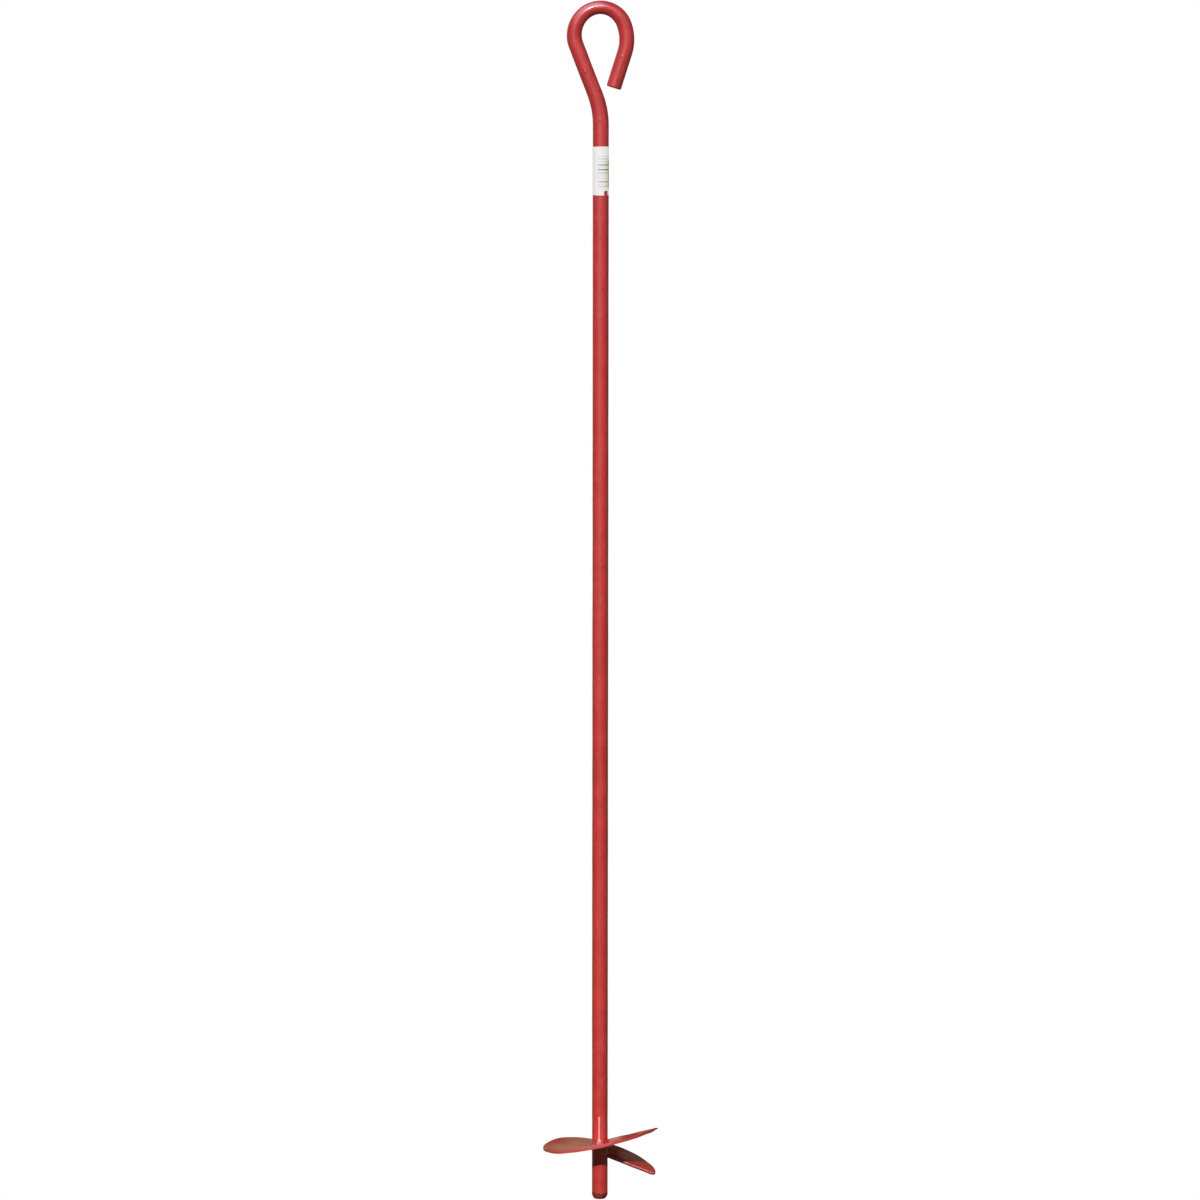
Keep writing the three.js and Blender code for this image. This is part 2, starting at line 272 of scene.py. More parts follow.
# paint nibs and sags: angle, distance along the bar, radius, height, and length as a
# multiple of the radius; a random scatter first, then the placed ones
rng = np.random.default_rng(20)
nibs = [
    (rng.uniform(0, 360), rng.uniform(12, LENGTH - 3), rng.uniform(0.5, 1.1),
     rng.uniform(0.05, 0.14), rng.uniform(1.0, 2.6))
    for _ in range(150)
]
nibs += [
    (268, SHANK + 5, 1.1, 0.26, 1.7),
    (262, SHANK + 47, 0.9, 0.26, 1.3),
    (283, SHANK + 122, 0.7, 0.20, 1.2),
    (283, SHANK + 168, 0.8, 0.22, 1.3),
    (268, 820.0, 0.8, 0.16, 2.5),
    (282, 640.0, 0.7, 0.15, 2.0),
]
nibs = np.array(nibs)
NIB_REACH = 5  # nibs further along than this leave no trace

wave_slow = Waves(seed=3, period=90.0)
wave_mid = Waves(seed=4, period=22.0)
wave_foot = Waves(seed=5, period=2.6, count=22, spread=1.8)
wave_crush = Waves(seed=6, period=4.5, count=16)
foot_radius = pchip(FOOT_PROFILE)
# height of the fine drawing lines, one value for each side of the bar
draw_line = np.random.default_rng(9).normal(size=SIDES)
draw_line = np.convolve(np.r_[draw_line, draw_line[:4]], [0.25, 0.5, 0.25], "same")[:SIDES]


def bar_radii(distance):
    """Radii round the bar at a distance along it."""
    radii = np.full(SIDES, BAR_R)
    if distance < FOOT_ZONE:
        radii = np.full(SIDES, float(foot_radius(distance)))
        # crushed and scaly where the bar was cropped
        crushed = 1 - smooth(distance, 4.6, 6.2)
        facets = np.abs(wave_foot(ROUND * 6.0, distance * 1.6)) * 0.26
        facets = facets + 0.10 * wave_crush(ROUND * BAR_R, distance)
        radii = radii - crushed * facets * (0.5 + 0.5 * smooth(distance, 0.0, 1.0))
    # drawing lines, fainter in the eye, and two sizes of unevenness
    radii = radii + 0.006 * draw_line * (1 - 0.6 * smooth(distance, SHANK, SHANK + 60))
    radii = radii + 0.03 * wave_slow(ROUND * BAR_R, distance)
    radii = radii + 0.012 * wave_mid(ROUND * BAR_R * 1.5, distance)
    # a slight flat on the -X side along the neck
    flat = smooth(distance, SHANK + 2, SHANK + 12)
    flat = flat * (1 - smooth(distance, SHANK + 32, SHANK + 44))
    radii = radii - 0.10 * flat * np.exp(-((turn_from(ROUND_DEG, 175) / 26.0) ** 2))
    close = np.abs(nibs[:, 1] - distance) < NIB_REACH
    for angle, place, radius, height, stretch in nibs[close]:
        across = turn_from(ROUND_DEG, angle) * math.pi / 180 * BAR_R
        radii = radii + height * np.exp(
            -((across / radius) ** 2) - ((distance - place) / (radius * stretch)) ** 2
        )
    # uneven rounded edge of the free end
    to_end = LENGTH - distance
    if to_end < 1.6:
        into_round = max(0.0, END_ROUND_R - to_end)
        drop = END_ROUND_R - math.sqrt(max(0.0, END_ROUND_R**2 - into_round**2))
        radii = radii - drop * (0.85 + 0.15 * np.sin(ROUND * 2 + 1.0))
    return radii


def build_bar():
    count = len(stations)
    rings = np.zeros((count, SIDES, 3))
    for i, (x, z, heading, distance) in enumerate(stations):
        radii = bar_radii(distance)
        # in the plane of the eye, to the right of the heading; and towards +Y,
        # where the thinned bar spreads a little
        across = radii * np.cos(ROUND) * thinning[i]
        rings[i, :, 0] = x + across * math.sin(heading)
        rings[i, :, 1] = radii * np.sin(ROUND) * (1 + (1 - thinning[i]) * 0.35)
        rings[i, :, 2] = z - across * math.cos(heading)
    points = [rings.reshape(-1, 3)]
    surface = [np.c_[np.tile(ROUND * BAR_R, count), np.repeat(stations[:, 3], SIDES)]]
    faces = grid_faces(count, SIDES, True)
    total = count * SIDES

    # end faces: rings shrinking to a centre point, a little inside the bar
    cap_mm = 6.0  # what a cap adds to 'along' on its way to the centre
    for end, sign, hollow in ((0, -1, 0.0), (count - 1, 1, 0.10)):
        ring = rings[end]
        centre = ring.mean(0)
        heading, distance = stations[end, 2:]
        outward = sign * np.array([math.cos(heading), 0, math.sin(heading)])
        previous = end * SIDES
        for scale in (0.82, 0.55, 0.28):
            rough = wave_foot(np.cos(ROUND) * scale * 9 + end, np.sin(ROUND) * scale * 9)
            depth = 0.05 + 0.05 * rough + hollow * (1 - scale)
            points.append(centre + (ring - centre) * scale - outward * depth[:, None])
            along = np.full(SIDES, distance + sign * cap_mm * (1 - scale))
            surface.append(np.c_[ROUND * BAR_R * scale, along])
            for j in range(SIDES):
                k = (j + 1) % SIDES
                quad = (previous + j, total + j, total + k, previous + k)
                faces.append(quad[::-1] if end else quad)
            previous = total
            total += SIDES
        points.append([centre - outward * 0.06])
        surface.append([[0, distance + sign * cap_mm]])
        for j in range(SIDES):
            triangle = (previous + j, total, previous + (j + 1) % SIDES)
            faces.append(triangle[::-1] if end else triangle)
        total += 1
    return make_object("eye_rod_enamelled", np.vstack(points), faces, np.vstack(surface))


# =====================================================================
# the helix plate
# =====================================================================
rim_height = pchip(RIM)
wave_plate = Waves(seed=11, period=34.0)
wave_edge = Waves(seed=12, period=3.0, count=18)


def plate_mid(radius, degrees):
    """Mid-surface points of the plate."""
    radius, degrees = np.broadcast_arrays(
        np.asarray(radius, float), np.asarray(degrees, float)
    )
    outward = (radius - HUB_R) / (PLATE_R - HUB_R)
    turned = (degrees - PLATE_START) / (PLATE_END - PLATE_START)
    hub = HUB_HEIGHT[0] + turned * (HUB_HEIGHT[1] - HUB_HEIGHT[0])
    z = hub + (rim_height(degrees) - hub) * outward
    # the upper corner reaches out beyond the rim
    flare = PLATE_TIP_FLARE * smooth(degrees, 315, PLATE_END) * np.clip(outward, 0, 2) ** 2
    angle = np.radians(degrees)
    x = (radius + flare) * np.cos(angle) + PLATE_OFFSET_X * outward
    y = (radius + flare) * np.sin(angle)
    z = z + 0.10 * wave_plate(x, y) * smooth(outward, 0.0, 0.5)
    return np.stack([x, y, z], -1)


def plate_normal(radius, degrees):
    step_out, step_round = 0.2, 0.4  # mm, degrees
    outward = plate_mid(radius + step_out, degrees) - plate_mid(radius - step_out, degrees)
    onward = plate_mid(radius, degrees + step_round) - plate_mid(radius, degrees - step_round)
    normal = np.cross(outward, onward)
    return normal / np.linalg.norm(normal, axis=-1, keepdims=True)


def plate_point(radius, degrees, offset):
    """Points of the plate; offset runs from -HALF_T on its underside to HALF_T on top."""
    radius, degrees, offset = np.broadcast_arrays(
        *[np.asarray(v, float) for v in (radius, degrees, offset)]
    )
    # the upper corner is drawn to a thin point
    outward = np.clip((radius - HUB_R) / (PLATE_R - HUB_R), 0, 1.2)
    tip = smooth(degrees, 330, PLATE_END) * smooth(outward, 0.45, 1.0)
    offset = HALF_T - (HALF_T - offset) * (1 - 0.72 * tip)
    return plate_mid(radius, degrees) + plate_normal(radius, degrees) * offset[..., None]


def corner_setback(radius, corner_r):
    """How far a cut edge stands back, at a radius, to round its corner at the rim."""
    into = np.minimum(np.maximum(0, radius - (PLATE_R - corner_r)), corner_r)
    return corner_r - np.sqrt(corner_r**2 - into**2)


def cut_angles(radius):
    """Angles of the two cut edges at a radius."""
    start = PLATE_START + np.degrees(corner_setback(radius, PLATE_CORNER_R) / radius)
    end = PLATE_END - np.degrees(corner_setback(radius, TIP_CORNER_R) / radius)
    return start, end


def sheared_point(radius, from_start, from_end, near_start, offset):
    """Surface points from their radius, distances to the cut edges and offset, with
    the shape of the sheared edges put on."""
    # a rounded box: each point is pulled to the nearest point of the rounded form,
    # whose rounds are larger on top than underneath
    edge_round = np.where(offset > 0, 0.62, 0.22)
    from_rim = PLATE_R - radius
    into_rim, into_start, into_end, into_face = (
        np.maximum(0, edge_round - distance)
        for distance in (from_rim, from_start, from_end, HALF_T - np.abs(offset))
    )
    into_cut = np.maximum(into_start, into_end)
    reach = np.sqrt(into_rim**2 + into_cut**2 + into_face**2)
    pull = 1 - np.where(reach > edge_round, edge_round / np.maximum(reach, 1e-9), 1.0)
    start_shift = np.where(into_start >= into_end, into_cut * pull, 0.0)
    end_shift = np.where(into_end > into_start, into_cut * pull, 0.0)
    # fracture band: the lower part of every sheared face sits back a little
    band = 0.16 * smooth(-offset, -0.25, 0.35) * (np.abs(offset) < HALF_T - 1e-6)
    radius = radius - into_rim * pull - np.where(from_rim < 1e-6, band, 0)
    start_shift = start_shift + np.where(from_start < 1e-6, band * 1.2, 0)
    end_shift = end_shift + np.where(from_end < 1e-6, band * 1.2, 0)
    start, end = cut_angles(radius)
    degrees = np.where(
        near_start,
        start + np.degrees((from_start + start_shift) / radius),
        end - np.degrees((from_end + end_shift) / radius),
    )
    return plate_point(radius, degrees, offset - np.sign(offset) * into_face * pull)


def build_plate():
    # distances in from the rim and from each cut edge, dense at the edge
    edge = np.array([0.0, 0.06, 0.14, 0.24, 0.36, 0.52, 0.72, 1.0, 1.4, 2.0])
    radii = np.r_[PLATE_R - edge, np.linspace(PLATE_R - 2.8, HUB_R, PLATE_ROWS)][::-1]
    margin = 2.6  # where the even stations between the cut edges begin
    even = np.linspace(0, 1, PLATE_COLUMNS + 2)[1:-1]
    start, end = cut_angles(radii)
    spans = (np.radians(end - start) * radii)[:, None]
    distances = np.hstack([
        np.tile(edge, (len(radii), 1)),
        margin + even * (spans - 2 * margin),
        spans - edge[::-1],
    ])
    offsets = np.array([
        -HALF_T, -HALF_T + 0.05, -HALF_T + 0.13, -HALF_T + 0.26, -0.6, -0.2, 0.2, 0.55,
        HALF_T - 0.5, HALF_T - 0.32, HALF_T - 0.18, HALF_T - 0.07, HALF_T,
    ])
    last_i, last_j, last_k = len(radii) - 1, distances.shape[1] - 1, len(offsets) - 1

    # places (i outwards, j round, k upwards) in the order the faces first use them
    index = {}
    faces = []

    def add_quad(*places, flip):
        quad = [index.setdefault(place, len(index)) for place in places]
        faces.append(quad[::-1] if flip else quad)

    # top and underside
    for k, flip in ((last_k, False), (0, True)):
        for i in range(last_i):
            for j in range(last_j):
                add_quad((i, j, k), (i + 1, j, k), (i + 1, j + 1, k), (i, j + 1, k), flip=flip)
    # rim and hub walls
    for i, flip in ((last_i, False), (0, True)):
        for j in range(last_j):
            for k in range(last_k):
                add_quad((i, j, k), (i, j + 1, k), (i, j + 1, k + 1), (i, j, k + 1), flip=flip)
    # the two cut edges
    for j, flip in ((0, True), (last_j, False)):
        for i in range(last_i):
            for k in range(last_k):
                add_quad((i, j, k), (i, j, k + 1), (i + 1, j, k + 1), (i + 1, j, k), flip=flip)

    i, j, k = np.array(list(index)).T
    radius, from_start, offset = radii[i], distances[i, j], offsets[k]
    from_end = spans[i, 0] - from_start
    points = sheared_point(radius, from_start, from_end, j / last_j < 0.5, offset)
    # shear marks down the rim
    marks = np.where(i == last_i, 0.012 * wave_edge(from_start * 0.6, offset * 0.25), 0)
    outward = points[:, :2] / np.linalg.norm(points[:, :2], axis=1, keepdims=True)
    points[:, :2] += marks[:, None] * outward

    ob = make_object("helix_plate_enamelled", points, faces, np.c_[from_start, radius])
    cut = (j == 0) | (j == last_j)
    wall = ((i == last_i) | cut) & (np.abs(offset) < HALF_T - 0.1)
    add_attribute(ob.data, "edge_face", wall)
    add_attribute(ob.data, "cut_face", cut)
    add_attribute(ob.data, "depth", offset / HALF_T)
    return ob


# =====================================================================
# weld beads
# =====================================================================
def build_weld(name, side, rise, sizes, seed, ripple):
    """A fillet between bar and plate; side is 1 on top of the plate, -1 under it.
    rise is its full height up the bar, ripple the height of its freezing lines."""
    first, last = sizes[0][0], sizes[-1][0]
    size_at = pchip(sizes)
    swell = Waves(seed, period=9.0)
    grain = Waves(seed + 1, period=2.2, count=20)
    total = math.radians(last - first) * WELD_ARC_R
    end_taper = 2.6
    across = np.linspace(0, 1, WELD_COLUMNS)  # from the bar to the plate
    middle = np.sin(np.pi * np.clip(across, 0.02, 0.98)) ** 0.5
    bow = 0.9 * np.sin(np.pi * across)
    inner_r = BAR_R - 0.5
    sections, surface = [], []
    for degrees in np.linspace(first, last, WELD_STATIONS):
        angle = math.radians(degrees)
        arc = math.radians(degrees - first) * WELD_ARC_R
        taper = min(1.0, (arc + 0.2) / end_taper, (total - arc + 0.2) / end_taper)
        taper = math.sqrt(max(0.02, 1 - (1 - taper) ** 2))
        run_size = float(size_at(degrees))
        size = taper * run_size * (1 + 0.08 * float(swell(arc, 0.0)))
        leg = WELD_LEG * size
        # freezing lines every 1.9 mm, bowed back along the run
        lines = (0.5 + 0.5 * np.cos(2 * np.pi * (arc + bow) / 1.9)) ** 1.5
        lines = ripple * run_size * lines * middle
        # a soft concave curve, raised along its slanting normal
        radius = BAR_R + leg * across**1.35 + 0.72 * lines
        height = rise * size * (1 - across) ** 1.55 + 0.69 * lines
        height = height + 0.04 * grain(arc, across * 5)
        face = plate_point(np.maximum(radius, HUB_R), degrees, side * HALF_T)[..., 2]
        z = face + side * (height - 0.04)
        # back of the bead, inside the plate and the bar
        inside = plate_point([HUB_R + leg * 0.8, HUB_R], degrees, side * (HALF_T - 0.5))
        radius = np.r_[radius, BAR_R + leg * 0.8, inner_r, inner_r]
        z = np.r_[z, inside[:, 2], z[0] - side * 0.2]
        sections.append(np.c_[radius * math.cos(angle), radius * math.sin(angle), z])
        surface.append(np.c_[np.r_[across * 6, 6.5, 7, 7.5], np.full(len(radius), arc)])

    cols = WELD_COLUMNS + 3
    faces = grid_faces(WELD_STATIONS, cols, True, flip=side < 0)
    # fans close both ends
    near = WELD_STATIONS * cols
    last_row = near - cols
    for j in range(cols):
        k = (j + 1) % cols
        for fan in ((near, k, j), (near + 1, last_row + j, last_row + k)):
            faces.append(fan if side > 0 else fan[::-1])
    points = np.vstack([*sections, sections[0].mean(0), sections[-1].mean(0)])
    return make_object(name, points, faces, np.vstack([*surface, [0, 0], [0, 0]]))


# =====================================================================
# label
# =====================================================================
wave_label = Waves(seed=31, period=9.0)


def notch_inset(low):
    """How far the film's far end stands back at a height above its lower edge."""
    torn = 0.10 * float(wave_label(low * 2.0, 40.0))
    if low <= NOTCH_H - NOTCH_R:
        return NOTCH_W + torn
    if low <= NOTCH_H + 1e-6:
        into = low - (NOTCH_H - NOTCH_R)
        return NOTCH_W - NOTCH_R + math.sqrt(max(0.0, NOTCH_R**2 - into * into)) + torn
    return 0.0


def label_row(z, thickness):
    """One row of the film: its points and their places on the surface."""
    low = z - LABEL_BOTTOM
    start = math.radians(LABEL_SEAM) + math.radians(LABEL_HALF_GAP)
    end = start + 2 * math.pi - 2 * math.radians(LABEL_HALF_GAP) - notch_inset(low) / BAR_R
    angle = start + (end - start) * np.linspace(0, 1, LABEL_COLUMNS)
    around = angle * BAR_R
    from_edge = min(low, LABEL_TOP - z)
    from_end, from_start = (end - angle) * BAR_R, (angle - start) * BAR_R
    # the film lifts a hair at its ends, notched corner and edges, and is creased
    lift = 0.10 * np.exp(-from_end / 1.6) + 0.05 * np.exp(-from_start / 1.2)
    lift = lift + 0.16 * np.exp(-from_end / 2.2) * math.exp(-low / 4.0)
    lift = lift + 0.03 * math.exp(-from_edge / 0.7)
    lift = lift + 0.0144 * (1 + wave_label(around, z))
    radius = BAR_R + 0.03 + thickness + lift
    # the lower and upper edges wander in opposite ways
    wander = 0.08 * wave_label(around * 0.6, 3.0)
    wander = wander * (1 if z < (LABEL_BOTTOM + LABEL_TOP) / 2 else -0.7)
    height = z + wander * math.exp(-from_edge / 3.0)
    points = np.c_[radius * np.cos(angle), radius * np.sin(angle), height]
    return points, np.c_[around, np.full(LABEL_COLUMNS, low)]


def build_label():
    """Thin wrapped film with a notch at its seam in the lower corner."""
    into_round = np.array([0.9, 0.7, 0.5, 0.3, 0.15, 0.05, 0.0])
    heights = LABEL_BOTTOM + np.r_[
        np.linspace(0, NOTCH_H - NOTCH_R, 14),
        NOTCH_H - NOTCH_R * into_round,
        NOTCH_H + 0.12,
        np.linspace(NOTCH_H + 0.4, LABEL_HEIGHT - 0.5, 66),
        LABEL_HEIGHT - 0.22,
        LABEL_HEIGHT,
    ]
    rows, cols = len(heights), LABEL_COLUMNS
    film = [label_row(z, thickness) for thickness in (0.0, LABEL_THICKNESS) for z in heights]
    outer = rows * cols  # first vertex of the outer layer
    faces = grid_faces(rows, cols, False, flip=True)
    faces += grid_faces(rows, cols, False, start=outer)
    top = (rows - 1) * cols
    for j in range(cols - 1):
        faces.append((j, j + 1, outer + j + 1, outer + j))
        k = top + j
        faces.append((k + 1, k, outer + k, outer + k + 1))
    for i in range(rows - 1):
        low, high = i * cols, (i + 1) * cols
        faces.append((high, low, outer + low, outer + high))
        low, high = low + cols - 1, high + cols - 1
        faces.append((low, high, outer + high, outer + low))
    points, surface = (np.vstack(part) for part in zip(*film))
    return make_object("barcode_label_film", points, faces, surface)


# =====================================================================
# node trees
# =====================================================================
class Nodes:
    """A short way to write the node tree of a material or a world. Values may be
    sockets, numbers or, for colours, three numbers."""

    def __init__(self, owner, output_kind="ShaderNodeOutputMaterial"):
        self.owner = owner
        owner.use_nodes = True
        self.tree = owner.node_tree
        self.tree.nodes.clear()
        self.output = self.node(output_kind)

    def node(self, kind, **settings):
        node = self.tree.nodes.new(kind)
        for key, value in settings.items():
            setattr(node, key, value)
        return node

    def put(self, socket, value):
        if isinstance(value, bpy.types.NodeSocket):
            self.tree.links.new(value, socket)
        elif isinstance(value, tuple) and socket.type == "RGBA":
            socket.default_value = (*value, 1)
        else:
            socket.default_value = value

    def surface(self, shader):
        self.put(self.output.inputs[0], shader)

    def attribute(self, name):
        return self.node("ShaderNodeAttribute", attribute_name=name).outputs["Fac"]

    def math(self, operation, first, second=0.0):
        node = self.node("ShaderNodeMath", operation=operation)
        self.put(node.inputs[0], first)
        self.put(node.inputs[1], second)
        return node.outputs[0]

    def fold(self, operation, values):
        total = values[0]
        for value in values[1:]:
            total = self.math(operation, total, value)
        return total

    def add(self, *values):
        return self.fold("ADD", values)

    def times(self, *values):
        return self.fold("MULTIPLY", values)

    def maximum(self, *values):
        return self.fold("MAXIMUM", values)

    def squared(self, value):
        return self.math("POWER", value, 2.0)

    def lowered(self, value, mask, by):
        """value, less `by` where mask is 1."""
        return self.math("SUBTRACT", value, self.times(mask, by))

    def span(self, value, over, to=(0.0, 1.0), kind="SMOOTHSTEP"):
        """Maps the range `over` of value onto the range `to`."""
        node = self.node("ShaderNodeMapRange", interpolation_type=kind)
        for socket, setting in zip(node.inputs, (value, *over, *to)):
            self.put(socket, setting)
        return node.outputs[0]

    def rise(self, value, start, end):
        """0 at start, smoothly to 1 at end."""
        return self.span(value, (start, end))

    def fall(self, value, start, end):
        """1 at start, smoothly to 0 at end."""
        return self.span(value, (start, end), to=(1.0, 0.0))

    def band(self, value, rise, fall):
        """1 between the ranges `rise` and `fall`, smoothly to 0 across them."""
        return self.times(self.rise(value, *rise), self.fall(value, *fall))

    def between(self, value, low, high):
        """1 between low and high with hard edges, 0 elsewhere."""
        above = self.math("GREATER_THAN", value, low)
        return self.times(above, self.math("LESS_THAN", value, high))

    def vector(self, x, y, z=0.0):
        node = self.node("ShaderNodeCombineXYZ")
        for socket, value in zip(node.inputs, (x, y, z)):
            self.put(socket, value)
        return node.outputs[0]

    def split(self, vector):
        node = self.node("ShaderNodeSeparateXYZ")
        self.put(node.inputs[0], vector)
        return node.outputs

    def scaled(self, vector, factor):
        node = self.node("ShaderNodeVectorMath", operation="SCALE")
        self.put(node.inputs[0], vector)
        self.put(node.inputs["Scale"], factor)
        return node.outputs[0]

    def object_mm(self):
        """Place in the object, in mm."""
        return self.scaled(self.node("ShaderNodeTexCoord").outputs["Object"], 1000.0)

    def noise(self, vector, scale, detail=3.0, roughness=0.5):
        node = self.node("ShaderNodeTexNoise")
        self.put(node.inputs["Vector"], vector)
        self.put(node.inputs["Scale"], scale)
        self.put(node.inputs["Detail"], detail)
        self.put(node.inputs["Roughness"], roughness)
        return node.outputs["Fac"]

    def cells(self, vector, scale):
        """Distance to the nearest of scattered points."""
        node = self.node("ShaderNodeTexVoronoi", feature="F1")
        self.put(node.inputs["Vector"], vector)
        self.put(node.inputs["Scale"], scale)
        return node.outputs["Distance"]

    def mix(self, under, over, mask, strength=None, blend="MIX"):
        """Colour `over` laid on `under` through mask, times strength if given."""
        node = self.node("ShaderNodeMix", data_type="RGBA", blend_type=blend)
        self.put(node.inputs[0], mask if strength is None else self.times(mask, strength))
        self.put(node.inputs[6], under)
        self.put(node.inputs[7], over)
        return node.outputs[2]

    def bump(self, height, strength, distance, normal=None):
        node = self.node("ShaderNodeBump")
        self.put(node.inputs["Strength"], strength)
        self.put(node.inputs["Distance"], distance)
        self.put(node.inputs["Height"], height)
        if normal is not None:
            self.put(node.inputs["Normal"], normal)
        return node.outputs["Normal"]

    def principled(self, **settings):
        """A surface with the inputs named in settings, underscores for spaces."""
        node = self.node("ShaderNodeBsdfPrincipled")
        for key, value in settings.items():
            self.put(node.inputs[key.replace("_", " ")], value)
        self.surface(node.outputs[0])

    def white_to_camera(self, shader_kind, colour):
        """A surface that glows white to the camera and with colour to all else."""
        shaders = []
        for shown in (colour, (1, 1, 1)):
            shader = self.node(shader_kind)
            self.put(shader.inputs[0], shown)
            shaders.append(shader.outputs[0])
        node = self.node("ShaderNodeMixShader")
        camera_ray = self.node("ShaderNodeLightPath").outputs["Is Camera Ray"]
        for socket, value in zip(node.inputs, (camera_ray, *shaders)):
            self.put(socket, value)
        self.surface(node.outputs[0])

    def not_a_lamp(self):
        """Keeps the material's own glow from being sampled as a light."""
        # these settings are only there when Cycles is enabled
        if hasattr(self.owner, "cycles"):
            self.owner.cycles.emission_sampling = "NONE"


# =====================================================================
# materials
# =====================================================================
RED = (0.600, 0.0365, 0.0265)
RED_DEEP = (0.470, 0.022, 0.016)
RED_PALE = (0.700, 0.085, 0.070)
ENAMEL_IOR = 1.55
COAT_IOR = 1.5


def bar_enamel():
    """Dipped red enamel over drawn bar: fine lines along it, specks and mottling."""
    mat = Nodes(bpy.data.materials.new("bar_enamel"))
    around, along = mat.attribute("around"), mat.attribute("along")
    # x and y round a circle, so that the textures have no seam
    angle = mat.math("DIVIDE", around, BAR_R)
    x = mat.times(mat.math("COSINE", angle), BAR_R)
    y = mat.times(mat.math("SINE", angle), BAR_R)
    # the surface at its true proportions, and stretched out along the bar
    even = mat.vector(x, y, along)
    drawn = mat.vector(x, y, mat.times(along, 0.018))
    drawn_long = mat.vector(x, y, mat.times(along, 0.005))

    fine = mat.noise(drawn, scale=2.6, detail=3, roughness=0.6)
    broad = mat.noise(drawn_long, scale=0.9, detail=2)
    mottle = mat.noise(even, scale=0.09, detail=4, roughness=0.6)
    grit = mat.noise(even, scale=1.3, detail=3, roughness=0.6)
    # specks, kept only in patches
    speck = mat.fall(mat.cells(even, scale=0.28), 0.06, 0.16)
    speck = mat.times(speck, mat.rise(mat.noise(even, scale=0.12, detail=1), 0.52, 0.60))
    # hairline scratches, also in patches
    scratch = mat.rise(mat.noise(drawn, scale=5, detail=1, roughness=0.4), 0.655, 0.72)
    patches = mat.rise(mat.noise(even, scale=0.035, detail=2), 0.42, 0.6)
    scratch = mat.times(scratch, patches)

    # the red turns a little cooler up the bar
    height = mat.rise(along, 150.0, 980.0)
    base = mat.mix(RED, (0.590, 0.036, 0.039), height)
    deep = mat.mix(RED_DEEP, (0.465, 0.022, 0.025), height)
    colour = mat.mix(deep, base, mat.rise(mottle, 0.3, 0.7))
    fine_lines = mat.span(fine, over=(0.36, 0.70), to=(0.0, 0.45))
    colour = mat.mix(colour, (0.66, 0.046, 0.038), fine_lines)
    broad_lines = mat.span(broad, over=(0.55, 0.75), to=(0.0, 0.30))
    colour = mat.mix(colour, RED_PALE, broad_lines)
    colour = mat.mix(colour, (0.80, 0.26, 0.22), scratch, strength=0.55)
    colour = mat.mix(colour, (0.78, 0.20, 0.17), speck, strength=0.45)
    # dark scale showing through where the enamel is thin on the crushed foot
    ragged = mat.span(mat.noise(even, scale=0.5, detail=2), over=(0.3, 0.7), to=(-0.5, 0.5))
    foot = mat.fall(mat.add(along, ragged), 5.3, 6.3)
    foot_grit = mat.rise(mat.noise(even, scale=0.75, detail=3, roughness=0.6), 0.40, 0.62)
    foot_colour = mat.mix((0.140, 0.017, 0.009), (0.330, 0.044, 0.022), foot_grit)
    colour = mat.mix(colour, foot_colour, foot, strength=0.95)
    gritty = mat.span(grit, over=(0.3, 0.8), to=(0.0, 0.10))
    roughness = mat.add(mat.add(0.42, gritty), mat.times(foot, 0.12))

    # drawing lines, orange peel, specks and the scaly foot
    peel = mat.noise(even, scale=0.55, detail=3, roughness=0.55)
    normal = mat.bump(fine, strength=0.10, distance=0.00015)
    normal = mat.bump(peel, strength=0.10, distance=0.0004, normal=normal)
    normal = mat.bump(speck, strength=0.5, distance=0.00018, normal=normal)
    normal = mat.bump(mat.times(foot, grit), strength=0.8, distance=0.0008, normal=normal)
    # the coat follows the bar more softly
    coat_lines = mat.noise(drawn, scale=0.9, detail=2)
    coat_swell = mat.noise(even, scale=0.10, detail=2)
    coat = mat.bump(coat_lines, strength=0.04, distance=0.00012)
    coat = mat.bump(coat_swell, strength=0.05, distance=0.0006, normal=coat)
    # the enamel ran down and thickened just above the plate
    run = mat.span(along, over=(50.0, 71.5), to=(6.3, 0.0), kind="LINEAR")
    coat = mat.bump(run, strength=1, distance=0.001, normal=coat)
    pool = mat.band(along, rise=(44.0, 50.0), fall=(66.0, 72.0))
    mat.principled(
        Base_Color=colour, Roughness=roughness, IOR=ENAMEL_IOR,
        Specular_IOR_Level=mat.lowered(0.5, foot, by=0.42),
        Coat_Weight=mat.lowered(0.9, foot, by=0.86),
        Coat_Roughness=mat.lowered(0.21, pool, by=0.02), Coat_IOR=COAT_IOR,
        Normal=normal, Coat_Normal=coat,
    )
    return mat.owner


def sheared_colour(mat, shear, depth):
    """Colour of the plate's sheared faces: the rim's, paler in patches as wear and painted
    highlight, or on the cut edges a bright band, a burnish zone with painted highlight, above a
    dark one, a fracture zone with painted shade."""
    # paler in patches: partly wear, partly painted highlight on the rim and the cut faces
    pale_wear_and_highlight = mat.rise(shear, 0.40, 0.62)
    rim = mat.mix((0.58, 0.055, 0.048), (0.68, 0.130, 0.115), pale_wear_and_highlight)
    # painted highlight: the pinkish upper band of a cut face, partly a real burnish zone
    burnish_highlight = mat.mix((0.66, 0.075, 0.068), (0.82, 0.33, 0.34), pale_wear_and_highlight)
    # painted shade: the nearly black lower band of a cut face, partly a real fracture zone
    fracture_shade = mat.mix((0.060, 0.012, 0.008), (0.15, 0.020, 0.014), pale_wear_and_highlight)
    cut = mat.mix(fracture_shade, burnish_highlight, mat.rise(depth, -0.30, 0.10))
    return mat.mix(rim, cut, mat.attribute("cut_face"))


